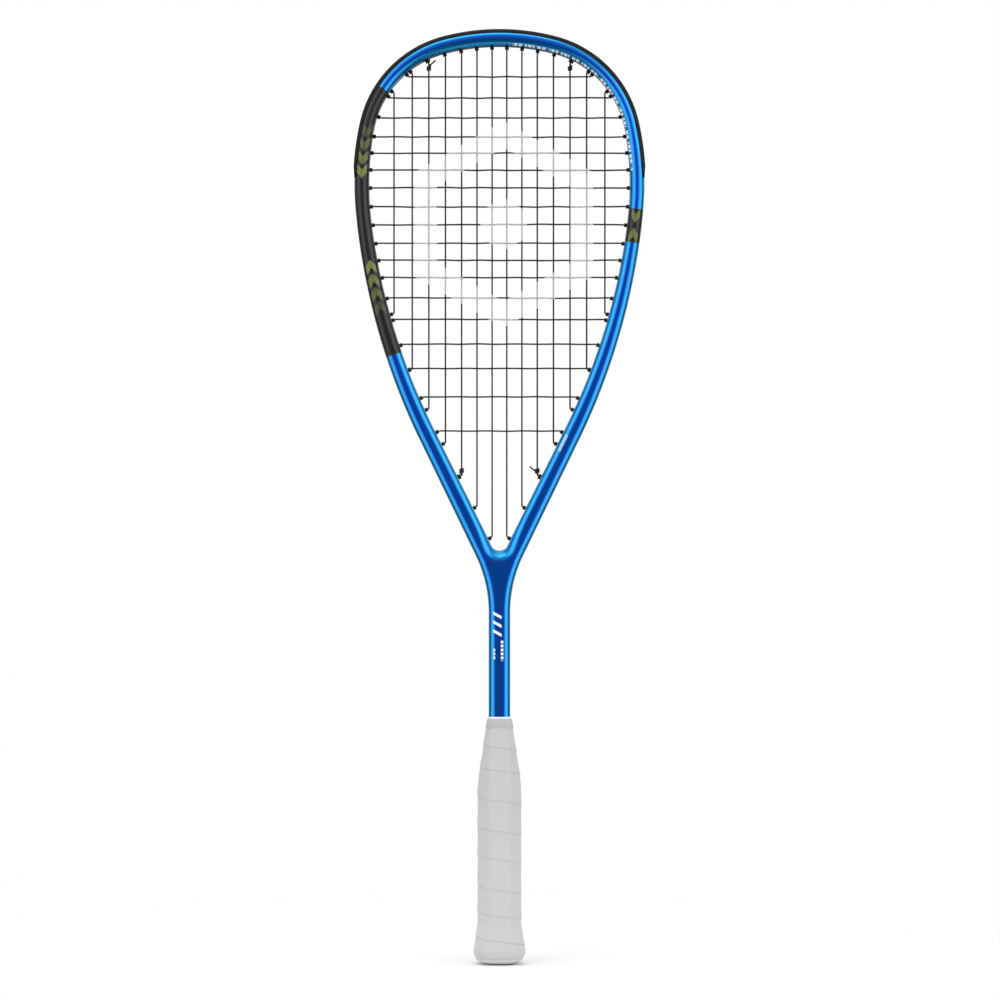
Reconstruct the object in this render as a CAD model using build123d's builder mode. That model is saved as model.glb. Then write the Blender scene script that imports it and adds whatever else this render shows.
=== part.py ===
"""Squash racket: a hollow one-piece carbon frame with a bumper guard, grommet strips,
two strings laid 14 by 18 and tied off with knots, and a wrapped octagonal handle.

Frame of reference: millimetres, +Z from the butt to the head, the string face in the
XZ plane, +Y through the strings, origin at the middle of the butt cap's end face.
"""

from build123d import *
import os
from math import ceil, cos, radians, sin

os.makedirs("parts", exist_ok=True)

# ---------------------------------------------------------------- driving dimensions
overall_length = 686.0

# Frame outlines, right half, from the top of the head down: radii and sweeps of
# tangent arcs, then a straight arm to the throat.
bumper_proud = 1.0
outer_top = overall_length - bumper_proud
outer_radii = (162.0, 83.0, 205.0, 486.0)
outer_sweeps = (15.0, 62.2, 17.9, 20.7)
inner_top = 673.8
inner_radii = (162.0, 71.5, 228.0, 472.0)
inner_sweeps = (14.0, 66.0, 17.3, 19.0)
throat_radius = 95.0
apex_radius = 6.2
shaft_width = 15.9
beam = 19.0
edge_radius = 4.5
shaft_end = 5.0

# Hollow of the frame
outer_wall = 4.1
inner_wall = 1.6
face_wall = 2.5
shaft_wall = 1.7
throat_floor = 270.0

# Seat of the bumper guard, groove and grommets, as depths below the natural outline
seat_depth = 2.2
bumper_end = 577.0
bumper_ramp = 11.0
bumper_width = 17.2
bumper_edge_radius = 2.6
channel_width = 6.0
channel_floor = 1.6
groove_depth = 2.7
groove_width = 6.8
groove_end = 291.0
strip_width = 6.4
strip_split = 372.0
strip_top = 586.5
barrel_radius = 1.45
twin_barrel_radius = 1.9
barrel_wall = 0.6
mouth_flare = 1.0
mouth_depth = 3.4
root_overlap = 0.3
barrel_stand_out = 2.2
fit_gap = 0.05

# Strings
string_radius = 0.6
layer = 0.65
tail_layer = 1.95
loop_inset = 0.8
loop_bend = 1.5
tip_bend = 1.2
tip_lead = 0.8
groove_bend = 20.0
knot_clearance = 2.1
loop_step = 12.0
first_main = 5.4
main_gaps = (11.1, 11.3, 11.9, 12.2, 12.2, 13.4)
first_cross = 651.4
cross_gaps = (-15.5, -14.7, -14.0, -12.0, -12.3, -13.2, -13.6, -13.5, -13.5, -12.3,
              -12.7, -15.1, -15.9, -18.3, -17.8, -20.9, -24.9)
top_knot_main = 4
bottom_knot_main = 2
knot_turns = 3
knot_pitch = 1.1
tail_length = 6.0

# Handle
handle_width = 28.8
handle_depth = 24.4
handle_chamfer = 7.4
handle_bottom = 4.1
taper_start = 130.0
handle_top = 172.0
collar = 0.75
collar_chamfer = 3.0
grip_thickness = 1.6
grip_bottom = 4.2
grip_top = 174.0
tape_bottom = 174.1
tape_top = 181.5
tape_thickness = 0.4
cap_profile = (
    (0.0, -4.4),
    (1.8, 0.4),
    (4.2, 1.6),
    (9.5, 3.2),
    (12.0, 2.9),
    (15.0, 2.0),
    (24.0, 1.0),
)
cap_floor = 4.0
staple_wire = 0.6
staple_span = 9.0
staple_leg = 3.2
staple_height = 18.0
staple_seat = 1.25


# ---------------------------------------------------------------- outlines
def running_total(start, gaps):
    """Positions that start at start and step by each gap in turn."""
    places = [start]
    for gap in gaps:
        places.append(places[-1] + gap)
    return places


def head_arcs(top, radii, sweeps, inset):
    """Draw a head's tangent arcs and return the last point and heading."""
    point, heading = Vector(0, top - inset), Vector(1, 0)
    for radius, turn in zip(radii, sweeps):
        arc = JernArc(start=point, tangent=heading, radius=radius - inset, arc_size=-turn)
        point, heading = arc @ 1, arc % 1
    return point, heading


def outer_half(inset, bottom):
    """Right half of the frame's outer outline, moved inwards by inset, to z = bottom."""
    point, heading = head_arcs(outer_top, outer_radii, outer_sweeps, inset)
    lean = sum(outer_sweeps) - 90
    side = shaft_width / 2 - inset
    across = point.X - side - (throat_radius + inset) * (1 - cos(radians(lean)))
    arm = PolarLine(point, across / sin(radians(lean)), direction=heading)
    throat = JernArc(arm @ 1, arm % 1, throat_radius + inset, lean)
    Line(throat @ 1, (side, bottom))


def inner_half(inset):
    """Right half of the head's inner outline, moved inwards by inset, to the apex."""
    point, heading = head_arcs(inner_top, inner_radii, inner_sweeps, inset)
    lean = sum(inner_sweeps) - 90
    apex = max(apex_radius - inset, 0.5)
    across = point.X - apex * cos(radians(lean))
    arm = PolarLine(point, across / sin(radians(lean)), direction=heading)
    JernArc(arm @ 1, arm % 1, apex, lean - 90)


def outer_face(inset, bottom=shaft_end):
    """Sketch of everything inside the outer outline, moved inwards by inset."""
    with BuildSketch() as made:
        with BuildLine():
            outer_half(inset, bottom)
            Line((shaft_width / 2 - inset, bottom), (0, bottom))
            mirror(about=Plane.YZ)
        make_face()
    return made.sketch


def inner_face(inset):
    """Sketch of the head's opening, moved inwards by inset."""
    with BuildSketch() as made:
        with BuildLine():
            inner_half(inset)
            mirror(about=Plane.YZ)
        make_face()
    return made.sketch


def rail(draw, *where):
    """A half outline as one wire, to measure positions on."""
    with BuildLine() as line:
        draw(*where)
    return line.wire()


def crossing(gap, low, high):
    """Parameter between low and high at which gap(parameter) changes sign."""
    start = gap(low)
    for _ in range(40):
        middle = (low + high) / 2
        if start * gap(middle) <= 0:
            high = middle
        else:
            low = middle
    return low


def outline_at(height):
    """Point, downward heading and outward normal of the natural outline at a height."""
    natural = rail(outer_half, 0, shaft_end)
    place = crossing(lambda u: (natural @ u).Y - height, 0, 1)
    heading = natural % place
    return natural @ place, heading, Vector(-heading.Y, heading.X)


# ---------------------------------------------------------------- string holes
tip_rail = rail(inner_half, barrel_stand_out + tip_lead)
loop_rail = rail(outer_half, loop_inset, shaft_end)
widest = crossing(lambda u: (tip_rail % u).X, 0.01, 0.6)


class StringHole:
    """One barrel's axis on the right half: corner, outward heading and exit point."""

    def __init__(self, place):
        self.corner = tip_rail @ place
        along = tip_rail % place
        self.heading = Vector(-along.Y, along.X)
        reach = place * tip_rail.length
        low, high = max(reach - 12, 0), reach + 45
        self.exit_place = crossing(
            lambda u: (loop_rail @ u - self.corner).dot(along),
            low / loop_rail.length,
            high / loop_rail.length,
        )
        self.exit = loop_rail @ self.exit_place
        self.length = (self.exit - self.corner).length

    def location(self, y, depth):
        """Location facing outwards, depth below the loop's centre line."""
        point = self.exit - self.heading * depth
        facing = Vector(self.heading.X, 0, self.heading.Y)
        return Plane(Vector(point.X, y, point.Y), x_dir=(0, 1, 0), z_dir=facing).location


mains = running_total(first_main, main_gaps)
crosses = running_total(first_cross, cross_gaps)
main_tops = [StringHole(crossing(lambda u: (tip_rail @ u).X - x, 0, widest)) for x in mains]
main_feet = [
    StringHole(crossing(lambda u: (tip_rail @ u).X - x, widest, 0.995)) for x in mains
]
cross_ends = [StringHole(crossing(lambda u: (tip_rail @ u).Y - z, 0, 0.995)) for z in crosses]
twin_top, twin_foot = main_tops[top_knot_main], main_feet[bottom_knot_main]


# ---------------------------------------------------------------- frame
def thick(sketch, width):
    """The sketch, drawn as X and Z, made a plate of this width across the strings."""
    with BuildPart() as made:
        with BuildSketch(Plane.XZ):
            add(sketch)
        extrude(amount=width / 2, both=True)
    return made.part


def below_bumper():
    """Sketch of all that lies past the tapered ends of the bumper guard."""
    tip, heading, outward = outline_at(bumper_end)
    seat_edge = tip - heading * bumper_ramp - outward * seat_depth
    crown_edge = tip - heading * bumper_ramp + outward * bumper_proud
    margin = 6.0
    with BuildSketch() as made:
        with BuildLine():
            Polyline(
                tip,
                seat_edge,
                seat_edge - outward * margin,
                tip + heading * 25 - outward * margin,
                tip + heading * 25 + outward * margin,
                crown_edge + outward * margin,
                crown_edge,
                close=True,
            )
        make_face()
        with Locations((0, tip.Y - 15 - overall_length / 2)):
            Rectangle(overall_length, overall_length)
        mirror(about=Plane.YZ)
    return made.sketch


def ring(outside, inside):
    """Sketch of the band between two depths below the natural outline."""
    with BuildSketch() as made:
        add(outer_face(outside))
        add(outer_face(inside), mode=Mode.SUBTRACT)
    return made.sketch


def mirrored(locations):
    """The same locations on both halves, each facing outwards."""
    both = []
    for place in locations:
        facing = Plane(place)
        origin, out = facing.origin, facing.z_dir
        both.append(place)
        other = Vector(-origin.X, origin.Y, origin.Z)
        both.append(Plane(other, x_dir=(0, 1, 0), z_dir=(-out.X, out.Y, out.Z)).location)
    return both


single_holes = [(hole, layer) for hole in main_tops + main_feet]
single_holes += [(hole, -layer) for hole in cross_ends + [twin_foot]]
twin_holes = [(twin_top, 0.0), (twin_foot, (layer + tail_layer) / 2)]
past_everything = below_bumper()

with BuildPart() as cavity:
    with BuildSketch(Plane.XZ):
        add(outer_face(outer_wall, throat_floor))
        add(inner_face(-inner_wall), mode=Mode.SUBTRACT)
    extrude(amount=beam / 2 - face_wall, both=True)
    with BuildSketch(Plane.XY.offset(shaft_end)):
        Rectangle(shaft_width - 2 * shaft_wall, beam - 2 * face_wall)
    extrude(amount=throat_floor + 4 - shaft_end)

with BuildPart() as bumper_seat:
    add(thick(ring(-3, seat_depth), 2 * beam))
    add(thick(past_everything, 3 * beam), mode=Mode.SUBTRACT)

with BuildPart() as string_groove:
    add(thick(ring(-3, groove_depth), groove_width))
    with BuildSketch(Plane.XY.offset(groove_end)):
        Rectangle(overall_length, beam)
    extrude(amount=-groove_end, mode=Mode.SUBTRACT)
    with BuildSketch(Plane.XY.offset(bumper_end + bumper_ramp + 2)):
        Rectangle(overall_length, beam)
    extrude(amount=overall_length, mode=Mode.SUBTRACT)

opening = thick(inner_face(0), beam + 1)

with BuildPart() as frame_shell:
    add(thick(outer_face(0), beam))
    faces_edges = edges().filter_by(lambda edge: abs(edge.center().Y) > beam / 2 - 0.01)
    fillet(faces_edges.filter_by(lambda edge: edge.center().Z > shaft_end + 0.1), edge_radius)
    add(opening, mode=Mode.SUBTRACT)
    rims = edges().filter_by(lambda edge: abs(edge.center().Y) > beam / 2 - 0.01)
    fillet(rims.filter_by(lambda edge: opening.distance_to(edge.center()) < 0.01), edge_radius)
    add(cavity.part, mode=Mode.SUBTRACT)
    add(bumper_seat.part, mode=Mode.SUBTRACT)
    add(string_groove.part, mode=Mode.SUBTRACT)
    with Locations(*mirrored([hole.location(y, -4) for hole, y in single_holes])):
        Hole(barrel_radius + fit_gap, depth=22)
    with Locations(*mirrored([hole.location(y, -4) for hole, y in twin_holes])):
        Hole(twin_barrel_radius + fit_gap, depth=22)


# ---------------------------------------------------------------- bumper and grommets
def barrels(low, high, side=0):
    """Barrels whose strings leave between two heights: solids, and bores to cut."""
    with BuildPart() as solid:
        for hole, y, radius in all_holes:
            if low < hole.exit.Y < high:
                reach = hole.length - tip_lead - channel_floor + loop_inset - root_overlap
                root = hole.location(y, channel_floor - loop_inset + root_overlap)
                with Locations(*sided(root, side)):
                    Cylinder(radius, reach, align=(Align.CENTER, Align.CENTER, Align.MAX))
    with BuildPart() as hollow:
        for hole, y, radius in all_holes:
            if low < hole.exit.Y < high:
                with Locations(*sided(hole.location(y, -1), side)):
                    Cylinder(
                        radius - barrel_wall,
                        hole.length + 6,
                        align=(Align.CENTER, Align.CENTER, Align.MAX),
                    )
                    Cone(
                        radius - barrel_wall,
                        radius + mouth_flare,
                        mouth_depth,
                        align=(Align.CENTER, Align.CENTER, Align.MAX),
                    )
    return solid.part, hollow.part


def sided(place, side):
    """The location on the right (1), on the left (-1) or on both sides (0)."""
    both = mirrored([place])
    return both if side == 0 else [both[0 if side > 0 else 1]]


def slab(low, high, side, width):
    """Block of one side of the racket between two heights."""
    with BuildPart() as made:
        with BuildSketch(Plane.XY.offset(low)):
            with Locations((side * overall_length / 2, 0)):
                Rectangle(overall_length if side else 2 * overall_length, width)
        extrude(amount=high - low)
    return made.part


def grommet_strip(side, low, high):
    """Flat strip in the bottom of the groove with its barrels, on one side."""
    solid, hollow = barrels(low, high + 3, side)
    with BuildPart() as made:
        add(thick(ring(channel_floor, groove_depth - fit_gap), strip_width))
        add(slab(low, high, side, 2 * beam), mode=Mode.INTERSECT)
        add(solid)
        add(hollow, mode=Mode.SUBTRACT)
    return made.part


all_holes = [(hole, y, barrel_radius) for hole, y in single_holes]
all_holes += [(hole, y, twin_barrel_radius) for hole, y in twin_holes]
bumper_barrels, bumper_bores = barrels(strip_top, overall_length)

with BuildPart() as bumper_guard:
    add(thick(outer_face(-bumper_proud), bumper_width))
    rims = edges().filter_by(lambda edge: abs(edge.center().Y) > bumper_width / 2 - 0.01)
    fillet(rims.filter_by(lambda edge: edge.center().Z > shaft_end + 0.1), bumper_edge_radius)
    add(thick(outer_face(seat_depth - fit_gap), 2 * beam), mode=Mode.SUBTRACT)
    add(thick(past_everything, 3 * beam), mode=Mode.SUBTRACT)
    add(thick(ring(-3, channel_floor), channel_width), mode=Mode.SUBTRACT)
    add(slab(0, strip_top + fit_gap, 0, strip_width + 2 * fit_gap), mode=Mode.SUBTRACT)
    add(bumper_barrels)
    add(bumper_bores, mode=Mode.SUBTRACT)

with BuildPart() as grommet_strip_right:
    add(grommet_strip(1, strip_split, strip_top))

with BuildPart() as grommet_strip_left:
    add(grommet_strip(-1, strip_split, strip_top))

with BuildPart() as throat_grommet_right:
    add(grommet_strip(1, groove_end + 0.5, strip_split - 0.2))

with BuildPart() as throat_grommet_left:
    add(grommet_strip(-1, groove_end + 0.5, strip_split - 0.2))


# ---------------------------------------------------------------- strings
def at(point, side, y):
    """A point of the right half's drawing, in space, on either side."""
    return Vector(side * point.X, y, point.Y)


def groove_run(start, end, side, y):
    """Points of the groove between two exits, with the radius for each."""
    first, last = start.exit_place, end.exit_place
    count = ceil(abs(last - first) * loop_rail.length / loop_step)
    steps = [first + (last - first) * i / count for i in range(1, count)]
    return [(at(loop_rail @ step, side, y), groove_bend) for step in steps]


def leave(hole, side, y):
    """From the string bed out through a barrel."""
    return [(at(hole.corner, side, y), tip_bend), (at(hole.exit, side, y), loop_bend)]


def enter(hole, side, y):
    """From the groove in through a barrel."""
    return leave(hole, side, y)[::-1]


def tail(hole, side, y):
    """End of a string inside a barrel, from the tip to the groove."""
    tip = hole.corner + hole.heading * (tip_lead + 0.3)
    return [(at(tip, side, y), 0), (at(hole.exit, side, y), loop_bend)]


def strung(route):
    """The string along a route of points and radii, leaving out points in line."""
    kept = [route[0]]
    for here, after in zip(route[1:-1], route[2:]):
        if (here[0] - kept[-1][0]).get_angle(after[0] - here[0]) > 0.4:
            kept.append(here)
    kept.append(route[-1])
    with BuildPart() as made:
        with BuildLine() as path:
            FilletPolyline(*[p for p, _ in kept], radius=[r for _, r in kept[1:-1]])
        with BuildSketch(Plane(path.line @ 0, z_dir=path.line % 0)):
            Circle(string_radius)
        sweep()
    return made.part


def main_route():
    """Both halves of the lengthwise string, from one bottom tie to the other."""
    route = tail(twin_foot, 1, tail_layer)
    route += groove_run(twin_foot, main_feet[-1], 1, tail_layer)
    order = [(1, i) for i in reversed(range(len(mains)))] + [(-1, i) for i in range(len(mains))]
    upwards = True
    for number, (side, i) in enumerate(order):
        first, last = (main_feet, main_tops) if upwards else (main_tops, main_feet)
        route += enter(first[i], side, layer) + leave(last[i], side, layer)
        if number < len(order) - 1 and order[number + 1][0] == side:
            route += groove_run(last[i], last[order[number + 1][1]], side, layer)
        upwards = not upwards
    route += groove_run(main_feet[-1], twin_foot, -1, tail_layer)
    return route + tail(twin_foot, -1, tail_layer)[::-1]


def cross_route():
    """The crosswise string, from its top tie, side to side, to its bottom tie."""
    route = tail(twin_top, 1, -layer) + groove_run(twin_top, cross_ends[0], 1, -layer)
    side = 1
    for i, hole in enumerate(cross_ends):
        route += enter(hole, side, -layer) + leave(hole, -side, -layer)
        side = -side
        if i < len(cross_ends) - 1:
            route += groove_run(hole, cross_ends[i + 1], side, -layer)
    route += groove_run(cross_ends[-1], twin_foot, side, -layer)
    return route + tail(twin_foot, side, -layer)[::-1]


def knot(hole, side, along, cut_end=None):
    """Turns of string round the lengthwise run beside a barrel, and the cut end."""
    start = at(hole.corner, side, layer)
    ring_radius = 2 * string_radius + fit_gap
    with BuildPart() as made:
        for turn in range(knot_turns):
            place = start + Vector(0, 0, along * (knot_clearance + turn * knot_pitch))
            with Locations(place):
                Torus(ring_radius, string_radius)
        if cut_end:
            with Locations(Plane(place - Vector(0, ring_radius, 0), z_dir=cut_end).location):
                Cylinder(
                    string_radius, tail_length, align=(Align.CENTER, Align.CENTER, Align.MIN)
                )
    return made.part


with BuildPart() as main_string:
    add(strung(main_route()))

with BuildPart() as cross_string:
    add(strung(cross_route()))

with BuildPart() as knot_top_left:
    add(knot(twin_top, -1, -1, (0.8, 0, 0.6)))

with BuildPart() as knot_top_right:
    add(knot(twin_top, 1, -1))

with BuildPart() as knot_bottom_left:
    add(knot(twin_foot, -1, 1))

with BuildPart() as knot_bottom_right:
    add(knot(twin_foot, 1, 1, (-0.8, 0, 0.6)))


# ---------------------------------------------------------------- handle
def octagon(height, grow=0.0, taper=0.0):
    """Section of the handle: grown outwards, and tapered from full (0) to collar (1)."""
    full = (handle_width, handle_depth, handle_chamfer)
    thin = (shaft_width + 2 * collar, beam + 2 * collar, collar_chamfer)
    wide, deep, cut = (a + (b - a) * taper for a, b in zip(full, thin))
    with BuildSketch(Plane.XY.offset(height)) as made:
        Rectangle(wide + 2 * grow, deep + 2 * grow)
        chamfer(made.vertices(), cut + grow * (2 - 2**0.5))
    return made.sketch


def stack(sections):
    """Solid through handle sections of (height, growth, taper)."""
    with BuildPart() as made:
        for height, grow, taper in sections:
            add(octagon(height, grow, taper))
        loft(ruled=True)
    return made.part


def shaft_core(low, high, gap):
    """Solid of the shaft's outside, grown by gap."""
    with BuildPart() as made:
        with BuildSketch(Plane.XY.offset(low)):
            RectangleRounded(shaft_width + 2 * gap, beam + 2 * gap, edge_radius + gap)
        extrude(amount=high - low)
    return made.part


def staple_pair(spare):
    """Two U staples, one through each flat of the cap, grown by spare for their slots."""
    crown = handle_depth / 2 + staple_seat
    wire = staple_wire + 2 * spare
    with BuildPart() as made:
        for face in (1, -1):
            with Locations((0, face * (crown + 10 * spare), staple_height)):
                Box(staple_span + wire, staple_wire + 22 * spare, wire)
            with Locations(
                *[(x * staple_span / 2, face * (crown - staple_leg / 2), staple_height) for x in (1, -1)]
            ):
                Box(wire, staple_leg + staple_wire + 2 * spare, wire)
    return made.part


pallet = stack([(handle_bottom, 0, 0), (taper_start, 0, 0), (handle_top, 0, 1)])
core = shaft_core(0, handle_top + 20, fit_gap)
slots = staple_pair(fit_gap)

with BuildPart() as handle_half_right:
    add(pallet)
    add(core, mode=Mode.SUBTRACT)
    add(slots, mode=Mode.SUBTRACT)
    add(slab(0, overall_length, 1, 4 * beam), mode=Mode.INTERSECT)

with BuildPart() as handle_half_left:
    mirror(handle_half_right.part, about=Plane.YZ)

with BuildPart() as butt_cap:
    add(stack([(height, grow, 0) for height, grow in cap_profile]))
    with BuildSketch(Plane.XY.offset(cap_floor)):
        add(octagon(0, fit_gap))
    extrude(amount=overall_length, mode=Mode.SUBTRACT)
    add(slots, mode=Mode.SUBTRACT)

with BuildPart() as butt_cap_staples:
    add(staple_pair(0))

covered = [(height, grow) for height, grow in cap_profile if height >= grip_bottom]
wrap_outside = [(height, grow + grip_thickness, 0) for height, grow in covered]
wrap_inside = [(height, grow + fit_gap, 0) for height, grow in covered]
cap_top = cap_profile[-1]
wrap_inside.append((cap_top[0] + fit_gap, cap_top[1] + fit_gap, 0))
wrap_inside.append((cap_top[0] + 1, fit_gap, 0))
for above, taper in ((taper_start, 0), (handle_top, 1), (grip_top, 1)):
    wrap_inside.append((above, fit_gap, taper))
wrap_outside.append((cap_top[0] + 3, grip_thickness, 0))
for above, taper in ((taper_start, 0), (handle_top, 1), (grip_top, 1)):
    wrap_outside.append((above, grip_thickness, taper))

with BuildPart() as grip_wrap:
    add(stack(wrap_outside))
    add(stack(wrap_inside), mode=Mode.SUBTRACT)

with BuildPart() as finishing_tape:
    add(shaft_core(tape_bottom, tape_top, fit_gap + tape_thickness))
    add(core, mode=Mode.SUBTRACT)


# ---------------------------------------------------------------- written pieces
pieces = {
    "frame_shell": frame_shell,
    "bumper_guard": bumper_guard,
    "grommet_strip_left": grommet_strip_left,
    "grommet_strip_right": grommet_strip_right,
    "throat_grommet_left": throat_grommet_left,
    "throat_grommet_right": throat_grommet_right,
    "main_string": main_string,
    "cross_string": cross_string,
    "knot_top_left": knot_top_left,
    "knot_top_right": knot_top_right,
    "knot_bottom_left": knot_bottom_left,
    "knot_bottom_right": knot_bottom_right,
    "handle_half_left": handle_half_left,
    "handle_half_right": handle_half_right,
    "butt_cap": butt_cap,
    "butt_cap_staples": butt_cap_staples,
    "grip_wrap": grip_wrap,
    "finishing_tape": finishing_tape,
}
for name, piece in pieces.items():
    piece.part.label = name
    export_step(piece.part, f"parts/{name}.step")
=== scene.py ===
"""Looks of the squash racket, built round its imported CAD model. Metres, +Z to the head,
the string face in the XZ plane and the front towards -Y."""

import math
import random

import bmesh
import bpy
import numpy as np
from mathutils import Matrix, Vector

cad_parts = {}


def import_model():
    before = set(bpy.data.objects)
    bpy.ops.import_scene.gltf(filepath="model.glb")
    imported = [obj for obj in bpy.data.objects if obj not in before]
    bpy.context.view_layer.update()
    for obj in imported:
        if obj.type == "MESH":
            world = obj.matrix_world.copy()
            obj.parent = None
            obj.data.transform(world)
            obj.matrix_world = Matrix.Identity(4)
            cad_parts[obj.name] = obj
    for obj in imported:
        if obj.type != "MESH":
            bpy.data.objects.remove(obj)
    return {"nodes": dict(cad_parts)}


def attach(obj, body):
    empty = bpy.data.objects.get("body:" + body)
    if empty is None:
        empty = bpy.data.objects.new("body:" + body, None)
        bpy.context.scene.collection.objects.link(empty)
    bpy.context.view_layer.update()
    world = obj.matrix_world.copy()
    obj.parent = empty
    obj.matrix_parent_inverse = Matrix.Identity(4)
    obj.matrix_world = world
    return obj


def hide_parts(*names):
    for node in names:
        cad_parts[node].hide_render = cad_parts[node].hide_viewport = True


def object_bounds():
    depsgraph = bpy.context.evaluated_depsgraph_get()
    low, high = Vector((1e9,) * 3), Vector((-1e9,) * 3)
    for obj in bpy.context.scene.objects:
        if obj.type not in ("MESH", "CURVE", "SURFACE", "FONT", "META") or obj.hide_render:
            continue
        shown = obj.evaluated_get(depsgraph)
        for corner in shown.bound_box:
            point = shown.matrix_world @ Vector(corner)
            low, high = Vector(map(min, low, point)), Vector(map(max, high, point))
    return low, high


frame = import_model()
cad_box = [list(corner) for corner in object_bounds()]
MM = 0.001
random.seed(11)

# ---------------------------------------- sizes, millimetres
LENGTH = cad_box[1][2] / MM
BUMPER_PROUD = 1.0
OUTER_TOP = LENGTH - BUMPER_PROUD
OUTER_ARCS = ((162.0, 15.0), (83.0, 62.2), (205.0, 17.9), (486.0, 20.7))
INNER_TOP = 673.8
INNER_ARCS = ((162.0, 14.0), (71.5, 66.0), (228.0, 17.3), (472.0, 19.0))
THROAT_RADIUS = 95.0
APEX_RADIUS = 6.2
SHAFT_WIDTH = 15.9
SHAFT_END = 5.0
BEAM = 19.0
EDGE = 5.2
APEX_EDGE = 8.6
APEX_SPREAD = 15.0
FACE_BLEND = 1.2
SEAT = 2.2
BUMPER_END = 577.0
BUMPER_RAMP = 11.0
GROOVE = 2.7
GROOVE_WIDTH = 6.8
GROOVE_SPAN = (291.0, 590.0)
SAMPLE_STEP = 0.4

BARREL_OUT = 3.0
LOOP_INSET = 0.8
STRING_RADIUS = 0.6
LAYER = 0.65
TAIL_LAYER = 1.95
MAINS = (5.4, 16.5, 27.8, 39.7, 51.9, 64.1, 77.5)
CROSSES = (651.4, 635.9, 621.2, 607.2, 595.2, 582.9, 569.7, 556.1, 542.6, 529.1, 516.8, 504.1,
           489.0, 473.1, 454.8, 437.0, 416.1, 391.2)
TOP_KNOT_MAIN, BOTTOM_KNOT_MAIN = 4, 2
MAIN_WAVE, CROSS_WAVE = 0.22, 0.93
WEAVE_CLEAR = 5.0

GRIP_BOTTOM, GRIP_TOP = 4.2, 174.0
TAPE_TOP = 181.5


# ---------------------------------------- outlines
class Outline:
    """Half an outline in the XZ plane: tangent arcs and lines, measured by length."""

    def __init__(self, start):
        self.start, self.heading = np.array(start, float), 0.0
        self.parts = []
        self.length = 0.0

    def arc(self, radius, turn):
        """Turn by so many degrees, clockwise if positive."""
        size = radius * math.radians(abs(turn))
        self.parts.append((self.length, size, self.start, self.heading, radius, turn))
        self._advance(size)

    def line(self, size):
        self.parts.append((self.length, size, self.start, self.heading, None, 0.0))
        self._advance(size)

    def _advance(self, size):
        point, heading = self.walk(self.parts[-1], size)
        self.start, self.heading = point, heading
        self.length += size

    @staticmethod
    def walk(part, distance):
        _, _, start, heading, radius, turn = part
        ahead = np.array([math.cos(heading), -math.sin(heading)])
        if radius is None:
            return start + ahead * distance, heading
        side = 1 if turn > 0 else -1
        centre = start + side * radius * np.array([-math.sin(heading), -math.cos(heading)])
        angle = heading + side * distance / radius
        return centre - side * radius * np.array([-math.sin(angle), -math.cos(angle)]), angle

    def at(self, distance):
        """Point and outward normal at a length from the top."""
        for part in self.parts:
            if distance <= part[0] + part[1] + 1e-9:
                break
        point, heading = self.walk(part, distance - part[0])
        return point, np.array([math.sin(heading), math.cos(heading)])

    def breaks(self):
        return [part[0] for part in self.parts] + [self.length]


def outer_outline(inset=0.0):
    path = Outline((0.0, OUTER_TOP - inset))
    for radius, turn in OUTER_ARCS:
        path.arc(radius - inset, turn)
    lean = math.radians(sum(turn for _, turn in OUTER_ARCS) - 90)
    side = SHAFT_WIDTH / 2 - inset
    bend = THROAT_RADIUS + inset
    path.line((path.start[0] - side - bend * (1 - math.cos(lean))) / math.sin(lean))
    path.arc(bend, -math.degrees(lean))
    path.line(path.start[1] - SHAFT_END)
    return path


def inner_outline(inset=0.0):
    path = Outline((0.0, INNER_TOP - inset))
    for radius, turn in INNER_ARCS:
        path.arc(radius - inset, turn)
    lean = math.radians(sum(turn for _, turn in INNER_ARCS) - 90)
    apex = max(APEX_RADIUS - inset, 0.5)
    path.line((path.start[0] - apex * math.cos(lean)) / math.sin(lean))
    path.arc(apex, 90 - math.degrees(lean))
    return path


OUTER, INNER = outer_outline(), inner_outline()


# ---------------------------------------- frame shell
HEAD_STEPS = (3.0, 1.6, 3.0, 4.0, 3.0)
THROAT_SHARE = 0.35
THROAT_ROWS, CROTCH_ROWS, SHAFT_ROWS = 24, 36, 60
RIM_ROWS, FACE_ROWS, INNER_ROWS = 9, 3, 3
FRONT_ROWS = 2 * RIM_ROWS + FACE_ROWS
SHOULDER = 0.35


def ramp(value, low, high):
    return min(max((value - low) / (high - low), 0.0), 1.0)


def smooth_step(value, low, high):
    t = ramp(value, low, high)
    return t * t * (3 - 2 * t)


def stations():
    """Outer point, normal, inner point and inner wall or not, from top to shaft end."""
    outer, inner = OUTER.breaks(), INNER.breaks()
    apex_z = INNER.start[1]
    throat_start, shaft_start = outer[5], outer[6]
    shaft_top_z = OUTER.at(shaft_start)[0][1]
    middle = throat_start + (shaft_start - throat_start) * THROAT_SHARE
    spans = [(outer[i], outer[i + 1], inner[i], inner[i + 1], math.ceil((outer[i + 1] - outer[i]) / step))
             for i, step in enumerate(HEAD_STEPS)]
    spans.append((throat_start, middle, inner[5], inner[6], THROAT_ROWS))
    rows = []
    for out_start, out_end, in_start, in_end, count in spans:
        for t in (k / count for k in range(count)):
            inn = INNER.at(in_start + (in_end - in_start) * t)[0]
            rows.append((*OUTER.at(out_start + (out_end - out_start) * t), inn, True))
    for k in range(CROTCH_ROWS):
        t = k / CROTCH_ROWS
        out_s = middle + (shaft_start - middle) * t
        z = apex_z + (shaft_top_z - apex_z) * t**1.5
        rows.append((*OUTER.at(out_s), np.array([0.0, z]), k == 0))
    for k in range(SHAFT_ROWS + 1):
        point, normal = OUTER.at(shaft_start + (OUTER.length - shaft_start) * k / SHAFT_ROWS)
        rows.append((point, normal, np.array([0.0, point[1]]), False))
    return rows


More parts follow.
